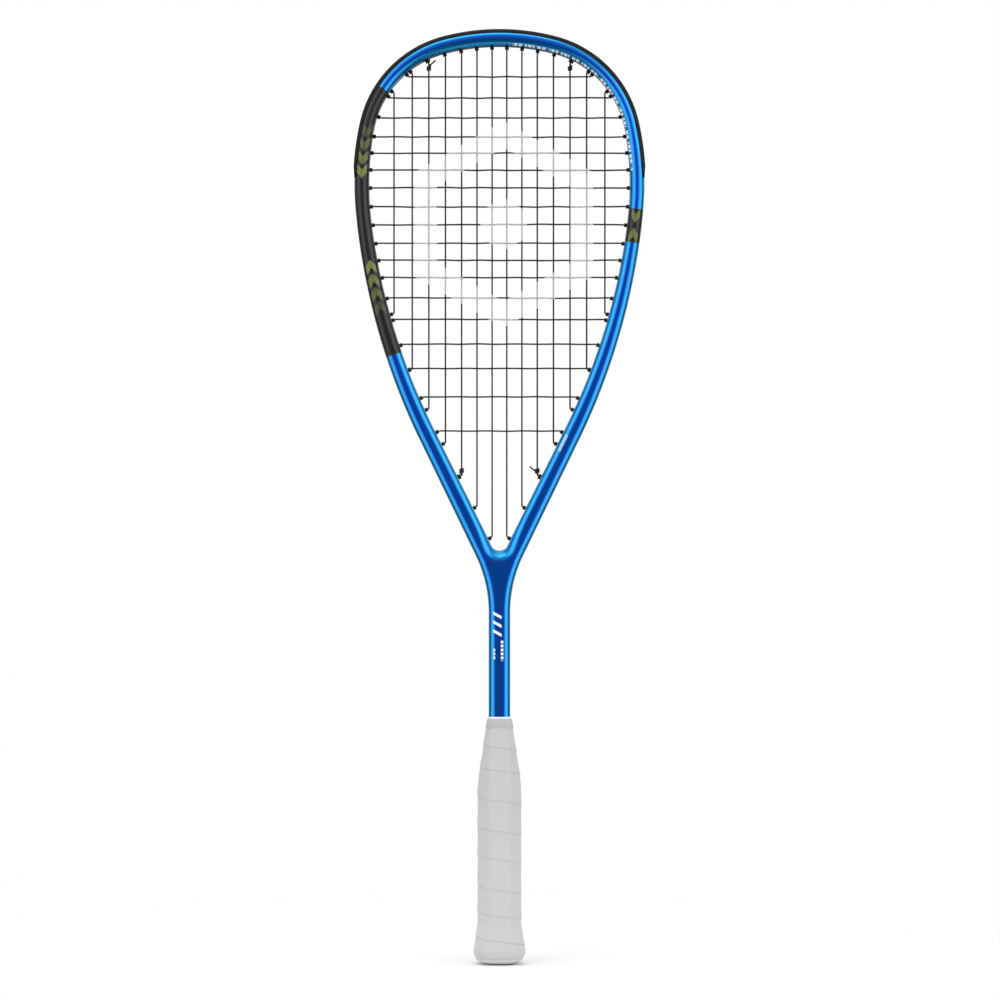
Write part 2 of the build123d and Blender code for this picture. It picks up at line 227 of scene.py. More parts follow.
def sampled(path):
    count = math.ceil(path.length / SAMPLE_STEP)
    return np.array([path.at(path.length * k / count)[0] for k in range(count + 1)])


OUTER_POINTS, INNER_POINTS = sampled(OUTER), sampled(INNER)
APEX = np.array([0.0, INNER.start[1]])


def nearest_along(point):
    """Length along the outer outline of the spot nearest to a point."""
    index = ((OUTER_POINTS - point) ** 2).sum(1).argmin()
    base = OUTER.length * index / (len(OUTER_POINTS) - 1)
    normal = OUTER.at(base)[1]
    tangent = np.array([normal[1], -normal[0]])
    return base + (point - OUTER_POINTS[index]) @ tangent


def crotch_radius(point):
    """Edge radius of the inner rim: larger round the apex of the throat."""
    near = math.exp(-(np.linalg.norm(point - APEX) / APEX_SPREAD) ** 2)
    return EDGE + (APEX_EDGE - EDGE) * near


def fillet_height(depth, radius):
    """Half depth of the tube this far in from an edge of this radius."""
    inside = min(max(depth, 0.0), radius)
    return BEAM / 2 - radius + math.sqrt(max(radius**2 - (radius - inside) ** 2, 0.0))


def face_height(point):
    """Half depth of the tube at a point: the lower of its two edges, softly joined."""
    out = fillet_height(np.sqrt(((OUTER_POINTS - point) ** 2).sum(1)).min(), EDGE)
    inn = fillet_height(np.sqrt(((INNER_POINTS - point) ** 2).sum(1)).min(), crotch_radius(point))
    mix = min(max(0.5 + 0.5 * (out - inn) / FACE_BLEND, 0.0), 1.0)
    joined = out * (1 - mix) + inn * mix - FACE_BLEND * mix * (1 - mix)
    return min(joined + FACE_BLEND / 4 * (1 - abs(2 * mix - 1)), BEAM / 2)


def frame_sections():
    """Rows of (x, y, z, across) round each station, and whether it has an inner wall."""
    made = []
    for out, normal, inn, walled in stations():
        seat = SEAT * ramp(out[1], BUMPER_END, BUMPER_END + BUMPER_RAMP)
        grooved = GROOVE_SPAN[0] < out[1] < GROOVE_SPAN[1]
        span = np.linalg.norm(inn - out)
        toward = (inn - out) / span
        start = math.acos(1 - seat / EDGE)
        rim = min(crotch_radius(inn), span - EDGE)
        turns = [k / (RIM_ROWS - 1) for k in range(RIM_ROWS)]
        near = [EDGE * (1 - math.cos(start + (math.pi / 2 - start) * t)) for t in turns]
        far = [span - rim * (1 - math.cos(math.pi / 2 * t)) for t in reversed(turns)]
        middle = [near[-1] + (far[0] - near[-1]) * (k + 1) / (FACE_ROWS + 1) for k in range(FACE_ROWS)]
        front = []
        for depth in near + middle + far:
            point = out + toward * depth
            front.append((point, -face_height(point), depth - span / 2))
        if seat == 0:
            front[0] = (out, EDGE - BEAM / 2, -span / 2)
        edge = BEAM / 2 - EDGE
        if walled:
            edge = fillet_height(0.0, crotch_radius(inn))
            front[-1] = (inn, -edge, span / 2)
        loop = [(p[0], y, p[1], b) for p, y, b in front]
        for y in (-edge * 0.5, 0.0, edge * 0.5):
            loop.append((inn[0], y if walled else 0.0, inn[1], span / 2))
        loop += [(p[0], -y, p[1], b) for p, y, b in reversed(front)]
        half = GROOVE_WIDTH / 2
        floor = GROOVE if grooved else seat
        shoulder = half - SHOULDER * (front[0][1] + half)
        for y, inset in ((shoulder, seat), (half, seat), (half, floor), (0.0, floor),
                         (-half, floor), (-half, seat), (-shoulder, seat)):
            point = out - normal * inset
            loop.append((point[0], y, point[1], -span / 2))
        made.append((loop, walled))
    return made


def object_from(name, verts, faces, attributes=()):
    """Smooth mesh object in metres from millimetre points, with float point attributes."""
    mesh = bpy.data.meshes.new(name)
    mesh.from_pydata([tuple(np.array(vert) * MM) for vert in verts], [], faces)
    for title, values in attributes:
        layer = mesh.attributes.new(title, "FLOAT", "POINT")
        layer.data.foreach_set("value", np.array(values, np.float32))
    mesh.validate()
    for polygon in mesh.polygons:
        polygon.use_smooth = True
    made = bpy.data.objects.new(name, mesh)
    bpy.context.scene.collection.objects.link(made)
    return made


def sharpen(piece, angle):
    """Sharp edges where faces meet at more than an angle in degrees."""
    piece.data.set_sharp_from_angle(angle=math.radians(angle))
    return piece


def weld(piece, distance):
    """Join points closer than a distance, and drop loose ones."""
    work = bmesh.new()
    work.from_mesh(piece.data)
    bmesh.ops.remove_doubles(work, verts=work.verts, dist=distance)
    bmesh.ops.dissolve_degenerate(work, dist=1e-7, edges=work.edges)
    loose = [vertex for vertex in work.verts if not vertex.link_faces]
    bmesh.ops.delete(work, geom=loose, context="VERTS")
    bmesh.ops.recalc_face_normals(work, faces=work.faces)
    work.to_mesh(piece.data)
    work.free()


def frame_mesh():
    """Both halves of the frame's skin, with no holes, closed at the end of the shaft."""
    sections = frame_sections()
    count = len(sections[0][0])
    verts, along, across, faces = [], [], [], []
    for side in (1, -1):
        base = len(verts)
        for loop, _ in sections:
            for x, y, z, depth in loop:
                verts.append((side * x, y, z))
                along.append(nearest_along(np.array([x, z])))
                across.append(depth)
        for row in range(len(sections) - 1):
            open_inside = not sections[row + 1][1]
            for k in range(count):
                if open_inside and FRONT_ROWS - 1 <= k < FRONT_ROWS + INNER_ROWS:
                    continue
                a, b = base + row * count + k, base + row * count + (k + 1) % count
                quad = (a, b, b + count, a + count)
                faces.append(quad if side > 0 else quad[::-1])
        last = base + (len(sections) - 1) * count
        cap = [last + k for k in range(count) if not FRONT_ROWS <= k < FRONT_ROWS + INNER_ROWS]
        faces.append(cap if side > 0 else cap[::-1])
    piece = object_from("frame_shell_skin", verts, faces, (("along", along), ("across", across)))
    weld(piece, 0.00002)
    return sharpen(piece, 40)


# ---------------------------------------- shader helpers
class Nodes:
    """Short ways to add linked shader nodes to one material, or to the world."""

    def __init__(self, name, owner=None):
        self.material = owner or bpy.data.materials.new(name)
        self.material.use_nodes = True
        self.tree = self.material.node_tree
        self.shader = self.tree.nodes["Background" if owner else "Principled BSDF"]

    def new(self, kind, **settings):
        node = self.tree.nodes.new("ShaderNode" + kind)
        for title, value in settings.items():
            setattr(node, title, value)
        return node

    def link(self, source, target):
        self.tree.links.new(source, target)

    def put(self, socket, value):
        if isinstance(value, bpy.types.NodeSocket):
            self.link(value, socket)
        else:
            socket.default_value = value

    def feed(self, title, value):
        """Set one input of the shader, or link it."""
        self.put(self.shader.inputs[title], value)

    def math(self, operation, a, b=0.0, clamp=False):
        node = self.new("Math", operation=operation, use_clamp=clamp)
        self.put(node.inputs[0], a)
        self.put(node.inputs[1], b)
        return node.outputs[0]

    def chain(self, operation, values):
        total = values[0]
        for value in values[1:]:
            total = self.math(operation, total, value)
        return total

    def times(self, *values):
        return self.chain("MULTIPLY", values)

    def plus(self, *values):
        return self.chain("ADD", values)

    def most(self, *values):
        return self.chain("MAXIMUM", values)

    def below(self, value, limit):
        return self.math("LESS_THAN", value, limit)

    def invert(self, value):
        return self.math("SUBTRACT", 1.0, value)

    def size(self, value):
        return self.math("ABSOLUTE", value)

    def share(self, value, pitch):
        """How far through its repeat a value is, from 0 to 1."""
        return self.math("FRACT", self.math("DIVIDE", value, pitch))

    def step(self, value, low, high):
        """0 below low, 1 above high, smooth between."""
        node = self.new("MapRange", interpolation_type="SMOOTHSTEP")
        self.put(node.inputs["Value"], value)
        node.inputs["From Min"].default_value = low
        node.inputs["From Max"].default_value = high
        return node.outputs[0]

    def band(self, value, low, high, soft):
        """1 between low and high."""
        return self.times(self.step(value, low - soft, low + soft),
                          self.invert(self.step(value, high - soft, high + soft)))

    def mix(self, factor, a, b):
        node = self.new("Mix", data_type="RGBA")
        self.put(node.inputs["Factor"], factor)
        for socket, value in ((node.inputs[6], a), (node.inputs[7], b)):
            self.put(socket, value if isinstance(value, bpy.types.NodeSocket) else (*value, 1.0))
        return node.outputs[2]

    def spread(self, value, low, high):
        """A value from 0 to 1, spread from low to high."""
        node = self.new("MapRange")
        self.put(node.inputs["Value"], value)
        node.inputs["To Min"].default_value = low
        node.inputs["To Max"].default_value = high
        return node.outputs[0]

    def coordinates(self, title):
        return self.new("TexCoord").outputs[title]

    def place(self):
        """Object coordinates in millimetres."""
        node = self.new("VectorMath", operation="SCALE")
        self.link(self.coordinates("Object"), node.inputs[0])
        node.inputs["Scale"].default_value = 1 / MM
        return node.outputs[0]

    def split(self, vector):
        node = self.new("SeparateXYZ")
        self.link(vector, node.inputs[0])
        return node.outputs

    def rearward(self):
        """How far the surface faces the back: 1 there, -1 at the front."""
        return self.split(self.coordinates("Normal"))[1]

    def attribute(self, title):
        return self.new("Attribute", attribute_name=title).outputs["Fac"]

    def noise(self, vector, scale, detail=2.0, roughness=0.5):
        node = self.new("TexNoise")
        self.link(vector, node.inputs["Vector"])
        node.inputs["Scale"].default_value = scale
        node.inputs["Detail"].default_value = detail
        node.inputs["Roughness"].default_value = roughness
        return node.outputs["Fac"]

    def cells(self, vector, scale):
        """Distance from the middle of each cell, and a random colour for it."""
        node = self.new("TexVoronoi")
        self.link(vector, node.inputs["Vector"])
        node.inputs["Scale"].default_value = scale
        return node.outputs["Distance"], node.outputs["Color"]

    def stretched(self, vector, factors):
        """A vector with its parts scaled one by one."""
        node = self.new("VectorMath", operation="MULTIPLY")
        self.link(vector, node.inputs[0])
        node.inputs[1].default_value = factors
        return node.outputs[0]

    def bump(self, height, strength, distance):
        node = self.new("Bump")
        node.inputs["Strength"].default_value = strength
        node.inputs["Distance"].default_value = distance
        self.link(height, node.inputs["Height"])
        self.feed("Normal", node.outputs[0])


def tinted(colour, factor, lift=0.0):
    return tuple(part * factor + lift for part in colour)


# ---------------------------------------- materials
DEEP_BLUE = (0.0005, 0.115, 0.72)
# Paler azure for the edges that turn away from front and back: a painted highlight hue in place of the
# metallic paint's reflection of side light.
PAINTED_HIGHLIGHT_AZURE = (0.006, 0.262, 0.58)
FLAKE_BLUE = (0.02, 0.34, 0.95)
BLACK_PAINT = (0.005, 0.005, 0.006)
OLIVE = (0.37, 0.40, 0.080)
WHITE_INK = (0.78, 0.84, 0.92)
FLAT_FACE = (0.92, 0.999)
LEFT_BLACK = (645.0, 445.0)
RIGHT_BLACK = (553.5, 528.5)
GROOVE_PAINT = (-4.9, 3.45)
CHEVRON_STEP = 10.4
CHEVRON_STROKE = 3.2
CHEVRON_REACH = 4.6
CHEVRON_FADE = 0.24
CHEVRON_COUNT = 4
FALLING_CHEVRONS, RISING_CHEVRONS = 579.5, 512.5
RIGHT_CHEVRON_INSET = 7.6
HATCH_RATE = 5.2
ARM_MARK = (384.0, 372.0)
RIM_INK = (8.0, 168.0)
RIM_INK_BACK = -4.0
RIM_DASHES = ((9.7, 0.84), (3.7, 0.80))
SHAFT_STROKES = (254.0, 247.5, 241.0)
SHAFT_SLANT = 0.55
SHAFT_DASHES = (((1.0, 2.9), (222.5, 237.5)), ((-4.4, -3.2), (223.0, 231.5)))
SHAFT_DASH_PITCH = 2.9
SHAFT_DASH_TOP = (237.6, 237.8)


def along_at(z):
    """Length along the outer outline, from the top, at which it passes a height."""
    low, high = 0.0, OUTER.length
    while high - low > 0.01:
        middle = (low + high) / 2
        low, high = (middle, high) if OUTER.at(middle)[0][1] > z else (low, middle)
    return low


def chevrons(n, along, across, first, count, point, fade):
    """Broad arrowheads across the tube from a first one, growing fainter one by one."""
    place = n.plus(along, n.times(n.size(across), point))
    strokes = []
    for i in range(count):
        centre = first + fade * i * CHEVRON_STEP
        stroke = n.band(place, centre - CHEVRON_STROKE, centre + CHEVRON_STROKE, 0.25)
        strokes.append(n.times(stroke, 1.0 - CHEVRON_FADE * i))
    return n.times(n.most(*strokes), n.band(across, -CHEVRON_REACH, CHEVRON_REACH, 0.2))


def hatch(n, along, across):
    """Fine crossed lines, leaving small dark diamonds."""
    waves = []
    for side in (1.0, -1.0):
        slant = n.plus(n.times(across, side), along)
        waves.append(n.step(n.math("SINE", n.times(slant, HATCH_RATE)), -0.75, -0.1))
    return n.times(*waves)


def box_mask(n, x, z, x_span, z_span, soft=0.12):
    return n.times(n.band(x, *x_span, soft), n.band(z, *z_span, soft))


def rim_dashes(n, along, across, x, y):
    """Dashes along the top right of the inner rim, on its front edge only."""
    rim = n.times(n.band(across, 3.8, 5.4, 0.2), n.below(y, RIM_INK_BACK))
    rim = n.times(rim, n.band(along, *RIM_INK, 0.5), n.math("GREATER_THAN", x, 0.0))
    for pitch, kept in RIM_DASHES:
        rim = n.times(rim, n.band(n.share(along, pitch), 0.05, kept, 0.03))
    return rim


def shaft_marks(n, x, y, z):
    """Three slanted strokes with two short rows of dashes below them, on the front."""
    slanted = n.plus(z, n.times(x, SHAFT_SLANT))
    marks = [box_mask(n, x, slanted, (-4.6, 1.6), (level, level + 2.2)) for level in SHAFT_STROKES]
    marks += [box_mask(n, x, z, *spans) for spans in SHAFT_DASHES]
    gaps = n.band(n.share(z, SHAFT_DASH_PITCH), 0.16, 0.84, 0.05)
    return n.times(n.most(*marks), n.most(gaps, n.step(z, *SHAFT_DASH_TOP)), n.below(y, 0.0))


def arm_mark(n, along, across, x):
    """A finely hatched patch on the inner side of the right arm."""
    start, end = (along_at(level) for level in ARM_MARK)
    patch = n.times(n.band(along, start, end, 0.4), n.band(across, 2.2, 4.6, 0.3))
    return n.times(patch, n.math("GREATER_THAN", x, 0.0), hatch(n, along, across), 0.75)


def frame_paint():
    """Metallic blue under a clear coat, with black zones, a black groove, olive
    arrowheads, and plain strokes and dashes in white. Its edges that turn away from front and back are
    painted a paler azure, a painted highlight."""
    n = Nodes("frame_paint")
    place = n.place()
    x, y, z = n.split(place)
    along, across = n.attribute("along"), n.attribute("across")
    left = [along_at(level) for level in LEFT_BLACK]
    right = [along_at(level) for level in RIGHT_BLACK]
    on_left = n.below(x, 0.0)
    black_left = n.times(n.band(along, *left, 0.12), on_left)
    black_right = n.times(n.band(along, *right, 0.12), n.invert(on_left))
    falling = chevrons(n, along, across, along_at(FALLING_CHEVRONS), CHEVRON_COUNT, 1.0, -1)
    rising = chevrons(n, along, across, along_at(RISING_CHEVRONS), CHEVRON_COUNT, -1.0, 1)
    upper = chevrons(n, along, across, right[0] + RIGHT_CHEVRON_INSET, 1, 1.0, 1)
    lower = chevrons(n, along, across, right[1] - RIGHT_CHEVRON_INSET, 1, -1.0, 1)
    on_arms = n.most(n.times(n.most(falling, rising), on_left),
                     n.times(n.most(upper, lower), n.times(black_right, 0.8)))
    olive = n.times(on_arms, hatch(n, along, across))
    flake = n.split(n.cells(place, 7.0)[1])[0]
    # Painted highlight: surfaces turned away from the front and back get the paler azure and flat faces
    # the deep blue, by facing alone.
    blue = n.mix(n.step(n.size(n.rearward()), *FLAT_FACE), PAINTED_HIGHLIGHT_AZURE, DEEP_BLUE)
    blue = n.mix(n.times(flake, 0.14), blue, FLAKE_BLUE)
    groove = n.times(n.below(across, GROOVE_PAINT[0]),
                     n.band(y, -GROOVE_PAINT[1], GROOVE_PAINT[1], 0.05),
                     n.below(along, along_at(GROOVE_SPAN[0])))
    black = n.most(black_left, black_right, groove)
    fibre = n.mix(flake, BLACK_PAINT, tinted(BLACK_PAINT, 2.6))
    ink = n.most(rim_dashes(n, along, across, x, y), shaft_marks(n, x, y, z),
                 arm_mark(n, along, across, x))
    n.feed("Base Color", n.mix(ink, n.mix(olive, n.mix(black, blue, fibre), OLIVE), WHITE_INK))
    covered = n.most(black, olive, ink)
    n.feed("Metallic", n.spread(covered, 1.0, 0.0))
    n.feed("Roughness", n.plus(n.spread(covered, 0.24, 0.28), n.spread(flake, 0.0, 0.06)))
    n.feed("Specular IOR Level", 0.2)
    n.feed("Coat Weight", 0.4)
    n.feed("Coat Roughness", 0.05)
    n.bump(flake, 0.06, 0.00004)
    return n.material


def moulded(name, colour, roughness, grain, strength, gloss):
    """Moulded plastic: fine cloudy texture, and paler scuffs in patches."""
    n = Nodes(name)
    place = n.place()
    texture = n.noise(place, grain, 4.0, 0.6)
    scuff = n.step(n.noise(place, 0.35, 6.0, 0.7), 0.60, 0.72)
    base = n.mix(texture, tinted(colour, 0.75), tinted(colour, 1.15))
    n.feed("Base Color", n.mix(n.times(scuff, 0.25), base, tinted(colour, 1.6, 0.01)))
    n.feed("Roughness", n.plus(n.spread(texture, roughness - 0.05, roughness + 0.05),
                               n.times(scuff, 0.12)))
    n.feed("Specular IOR Level", gloss)
    n.bump(texture, strength, 0.00008)
    return n.material


def in_hexagon(n, x, z, radius):
    """1 inside a hexagon with upright sides round the middle of the stencil."""
    reaches = []
    for turn in (0.0, 60.0, 120.0):
        angle = math.radians(turn)
        reaches.append(n.size(n.plus(n.times(x, math.cos(angle)), n.times(z, math.sin(angle)))))
    return n.below(n.most(*reaches), radius)


def string_coat():
    """Black coated string with a fine spiral, and a plain hexagon ring stencilled on."""
    n = Nodes("string_coat")
    place = n.place()
    x, _, z = n.split(place)
    spiral = n.math("SINE", n.times(n.attribute("run"), 2 * math.pi / STRING_TWIST))
    rub = n.noise(place, 0.8, 3.0)
    dx = n.math("SUBTRACT", x, STENCIL_CENTRE[0])
    dz = n.math("SUBTRACT", z, STENCIL_CENTRE[1])
    outside, hole, core = (in_hexagon(n, dx, dz, radius) for radius in STENCIL_RING)
    ink = n.plus(n.math("SUBTRACT", outside, hole), core)
    patchy = n.spread(n.noise(place, 0.5, 4.0, 0.7), 1.45, 0.30)
    front = n.invert(n.step(n.rearward(), 0.1, 0.8))
    ink = n.times(n.math("MULTIPLY", ink, patchy, clamp=True), front)
    black = n.mix(rub, (0.005, 0.005, 0.005), (0.011, 0.011, 0.012))
    n.feed("Base Color", n.mix(ink, black, STENCIL_INK))
    n.feed("Roughness", n.spread(rub, 0.42, 0.58))
    n.feed("Specular IOR Level", 0.25)
    n.bump(spiral, 0.25, 0.00003)
    return n.material


def wrap_cloth(name, colour, seam_colour):
    """Soft tacky wrap: fine pores and creases, darker at its overlaps, paler by the cap."""
    n = Nodes(name)
    place = n.place()
    seam = n.attribute("seam")
    pores = n.cells(place, 1.5)[0]
    grain = n.noise(place, 1.1, 5.0, 0.65)
    creases = n.noise(n.stretched(place, (0.25, 0.25, 1.0)), 0.32, 3.0)
    cloud = n.noise(place, 0.045, 3.0)
    from_cap = n.step(n.split(place)[2], 15.0, 170.0)
    base = n.mix(n.spread(cloud, -0.6, 1.5), tinted(colour, 0.95), colour)
    base = n.mix(n.times(from_cap, 0.5), tinted(colour, 1.13), base)
    base = n.mix(n.times(n.math("POWER", seam, 2.0), 0.22), base, seam_colour)
    base = n.mix(n.times(n.step(grain, 0.52, 0.75), 0.12), base, seam_colour)
    n.feed("Base Color", base)
    n.feed("Roughness", n.spread(grain, 0.52, 0.72))
    n.feed("Specular IOR Level", 0.35)
    n.feed("Sheen Weight", 0.3)
    n.feed("Sheen Roughness", 0.6)
    height = n.plus(n.times(n.step(pores, 0.05, 0.35), 0.35), n.times(grain, 0.5),
                    n.times(creases, 1.4))
    n.bump(height, 0.35, 0.00012)
    return n.material


def tape_film():
    """Thin matt tape, paler along its upper edge."""
    n = Nodes("tape_film")
    place = n.place()
    ripple = n.noise(n.stretched(place, (1.0, 1.0, 4.0)), 0.5, 4.0)
    edge = n.step(n.split(place)[2], TAPE_TOP - 1.5, TAPE_TOP - 1.1)
    base = n.mix(ripple, (0.42, 0.422, 0.42), (0.47, 0.472, 0.47))
    n.feed("Base Color", n.mix(edge, base, (0.72, 0.76, 0.82)))
    n.feed("Roughness", n.spread(ripple, 0.40, 0.55))
    n.bump(ripple, 0.3, 0.0001)
    return n.material


def cap_rubber():
    """Pale moulded cap with a fine matt spark texture, a little darker underneath."""
    n = Nodes("cap_rubber")
    place = n.place()
    spark = n.cells(place, 2.4)[0]
    cloud = n.noise(place, 0.12, 4.0)
    low = n.invert(n.step(n.split(place)[2], 0.0, 1.6))
    base = n.mix(cloud, (0.60, 0.60, 0.58), (0.66, 0.66, 0.64))
    n.feed("Base Color", n.mix(n.times(low, 0.2), base, (0.53, 0.525, 0.50)))
    n.feed("Roughness", n.spread(cloud, 0.50, 0.66))
    n.bump(n.plus(spark, n.times(cloud, 0.6)), 0.25, 0.0001)
    return n.material


def foam():
    """Moulded handle foam: open cells."""
    n = Nodes("handle_foam")
    cells = n.cells(n.place(), 0.9)[0]
    n.feed("Base Color", n.mix(cells, (0.40, 0.34, 0.24), (0.60, 0.53, 0.40)))
    n.feed("Roughness", n.spread(cells, 0.8, 0.95))
    n.bump(cells, 0.5, 0.0003)
    return n.material


def steel():
    """Drawn wire, streaked along its length."""
    n = Nodes("staple_steel")
    drawn = n.noise(n.stretched(n.place(), (0.1, 1.0, 1.0)), 6.0, 3.0)
    n.feed("Base Color", n.mix(drawn, (0.45, 0.45, 0.46), (0.62, 0.62, 0.62)))
    n.feed("Roughness", n.spread(drawn, 0.28, 0.4))
    n.feed("Metallic", 1.0)
    return n.material


# ---------------------------------------- strings
STRING_SIDES = 10
STRING_TWIST = 0.9
STENCIL_CENTRE = (3.0, 543.0)
STENCIL_RING = (66.0, 49.0, 17.0)
STENCIL_INK = (0.50, 0.50, 0.51)
LOOP_BEND, BEND_STEPS = 1.5, 4
LOOP_STEP = 6.0
GROOVE_SEARCH = (12.0, 45.0)
NEARLY_ALL = 0.995
EASE_STEPS = 6
CROSS_DRIFT, CROSS_SAG = 0.35, 0.3
RIPPLE, RIPPLE_RATE, RIPPLE_SHIFT = 0.12, 0.21, 1.7
KNOT_TURNS, KNOT_STEPS, KNOT_PITCH = 3, 16, 1.12
KNOT_SWELL, KNOT_SWELL_RATE = 0.10, 0.55
TIP_PATH = inner_outline(BARREL_OUT)
LOOP_PATH = outer_outline(LOOP_INSET)


def crossing(gap, low, high):
    """Value between low and high at which gap changes sign."""
    start = gap(low)
    for _ in range(40):
        middle = (low + high) / 2
        if start * gap(middle) <= 0:
            high = middle
        else:
            low = middle
    return low


class StringHole:
    """A barrel's axis on the right half: its tip, and where it meets the groove."""

    def __init__(self, place):
        self.corner, self.heading = TIP_PATH.at(place)
        along = np.array([self.heading[1], -self.heading[0]])
        before, beyond = GROOVE_SEARCH
        self.place = crossing(lambda s: (LOOP_PATH.at(s)[0] - self.corner) @ along,
                              max(place - before, 0), place + beyond)
        self.exit = LOOP_PATH.at(self.place)[0]


def string_holes():
    """The tops and feet of the lengthwise strings, and the ends of the crosswise ones."""
    last = TIP_PATH.length * NEARLY_ALL
    widest = crossing(lambda s: TIP_PATH.at(s)[1][1], 1.0, TIP_PATH.length * 0.6)

    def holes(axis, values, low, high):
        return [StringHole(crossing(lambda s: TIP_PATH.at(s)[0][axis] - value, low, high))
                for value in values]

    return holes(0, MAINS, 0, widest), holes(0, MAINS, widest, last), holes(1, CROSSES, 0, last)


TOPS, FEET, ENDS = string_holes()


def spot(point, side, y):
    return np.array([side * point[0], y, point[1]])


def weave_sign(side, main, cross):
    """1 where the lengthwise string passes behind, -1 in front; near the rim always 1."""
    column = main if side > 0 else -1 - main
    x, z = MAINS[main], CROSSES[cross]
    near = min(TOPS[main].corner[1] - z, z - FEET[main].corner[1], ENDS[cross].corner[0] - x)
    return 1 if near < WEAVE_CLEAR or (column + cross) % 2 == 0 else -1


def eased(values, fixed):
    """Points through (distance, y) values with level crossings; fixed(distance, y) places them."""
    points = []
    for (a, ya), (b, yb) in zip(values, values[1:]):
        for k in range(EASE_STEPS):
            t = k / EASE_STEPS
            points.append(fixed(a + (b - a) * t, ya + (yb - ya) * smooth_step(t, 0.0, 1.0)))
    return points + [fixed(*values[-1])]


def main_bed(side, main):
    """A lengthwise string across the bed, from its foot up to its top."""
    low, high = FEET[main].corner, TOPS[main].corner
    values = [(low[1], LAYER)]
    for cross in reversed(range(len(CROSSES))):
        if low[1] + 1 < CROSSES[cross] < high[1] - 1:
            values.append((CROSSES[cross], MAIN_WAVE * weave_sign(side, main, cross)))
    values.append((high[1], LAYER))
    return eased(values, lambda z, y: np.array([side * MAINS[main], y, z]))


def cross_bed(cross):
    """A crosswise string over the bed, from left to right."""
    reach = ENDS[cross].corner[0]
    values = []
    for side in (-1, 1):
        for main, x in enumerate(MAINS):
            if x < reach - 1 and FEET[main].corner[1] < CROSSES[cross] < TOPS[main].corner[1]:
                values.append((side * x, -CROSS_WAVE * weave_sign(side, main, cross)))
    values = [(-reach, -LAYER)] + sorted(values) + [(reach, -LAYER)]
    drift = random.uniform(-CROSS_DRIFT, CROSS_DRIFT)
    sag = random.uniform(-CROSS_SAG, CROSS_SAG)

    def place(x, y):
        share = x / reach
        ease = 1 - share**4
        wave = RIPPLE * math.sin(x * RIPPLE_RATE + cross * RIPPLE_SHIFT)
        return np.array([x, y, CROSSES[cross] + ease * (drift * share + sag + wave)])

    return eased(values, place)


def bent(corner, before, after):
    """A short smooth bend at a corner, towards its neighbours."""
    one, two = before - corner, after - corner
    reach = min(LOOP_BEND, np.linalg.norm(one) * 0.45, np.linalg.norm(two) * 0.45)
    start = corner + one / np.linalg.norm(one) * reach
    end = corner + two / np.linalg.norm(two) * reach
    return [start * (1 - t) ** 2 + corner * 2 * t * (1 - t) + end * t * t
            for t in (k / BEND_STEPS for k in range(BEND_STEPS + 1))]


class StringRun:
    """A string's centre line, put together from corners, crossings and grooves."""

    def __init__(self):
        self.points = []
        self.corners = set()

    def turn(self, point):
        self.corners.add(len(self.points))
        self.points.append(point)

    def groove(self, start, end, side, y):
        """Along the groove between two exits, both left out."""
        count = math.ceil(abs(end.place - start.place) / LOOP_STEP)
        for i in range(1, count):
            place = start.place + (end.place - start.place) * i / count
            self.points.append(spot(LOOP_PATH.at(place)[0], side, y))

    def cross(self, sides, first, bed, last, y):
        """Out of one hole, over the bed and into the next."""
        self.turn(spot(first.exit, sides[0], y))
        self.turn(bed[0])
        self.points += bed[1:-1]
        self.turn(bed[-1])
        self.turn(spot(last.exit, sides[1], y))

    def line(self):
        made = []
        for i, point in enumerate(self.points):
            if i in self.corners and 0 < i < len(self.points) - 1:
                made += bent(point, self.points[i - 1], self.points[i + 1])
            else:
                made.append(point)
        return made


def string_mesh(name, line):
    """Round string along a centre line, with closed ends and its length in "run"."""
    points = [line[0]]
    for point in line[1:]:
        if np.linalg.norm(point - points[-1]) > 0.05:
            points.append(point)
    tangents = np.gradient(np.array(points), axis=0)
    tangents /= np.linalg.norm(tangents, axis=1)[:, None]
    side = np.cross(tangents[0], (0.3, 1.0, 0.2))
    verts, run, faces = [], [], []
    length = 0.0
    for i, (point, ahead) in enumerate(zip(points, tangents)):
        side = side - ahead * (side @ ahead)
        side /= np.linalg.norm(side)
        up = np.cross(ahead, side)
        length += np.linalg.norm(point - points[i - 1]) if i else 0.0
        for k in range(STRING_SIDES):
            angle = 2 * math.pi * k / STRING_SIDES
            verts.append(point + STRING_RADIUS * (math.cos(angle) * side + math.sin(angle) * up))
            run.append(length)
        if i:
            row = i * STRING_SIDES
            before = row - STRING_SIDES
            for k in range(STRING_SIDES):
                after = (k + 1) % STRING_SIDES
                faces.append((before + k, before + after, row + after, row + k))
    last = (len(points) - 1) * STRING_SIDES
    faces.append(list(reversed(range(STRING_SIDES))))
    faces.append([last + k for k in range(STRING_SIDES)])
    return sharpen(object_from(name, verts, faces, (("run", run),)), 60)


def main_line():
    """The lengthwise string: tied at both feet, up and down, right half then left."""
    foot, last = FEET[BOTTOM_KNOT_MAIN], FEET[-1]
    run = StringRun()
    tip = foot.corner + foot.heading
    run.turn(spot(tip, 1, TAIL_LAYER))
    run.turn(spot(foot.exit, 1, TAIL_LAYER))
    run.groove(foot, last, 1, TAIL_LAYER)
    order = [(1, i) for i in reversed(range(len(MAINS)))] + [(-1, i) for i in range(len(MAINS))]
    upwards = True
    for number, (side, i) in enumerate(order):
        near, far = (FEET, TOPS) if upwards else (TOPS, FEET)
        bed = main_bed(side, i) if upwards else main_bed(side, i)[::-1]
        run.cross((side, side), near[i], bed, far[i], LAYER)
        if number < len(order) - 1 and order[number + 1][0] == side:
            run.groove(far[i], far[order[number + 1][1]], side, LAYER)
        upwards = not upwards
    run.groove(last, foot, -1, TAIL_LAYER)
    run.turn(spot(foot.exit, -1, TAIL_LAYER))
    run.turn(spot(tip, -1, TAIL_LAYER))
    return run.line()


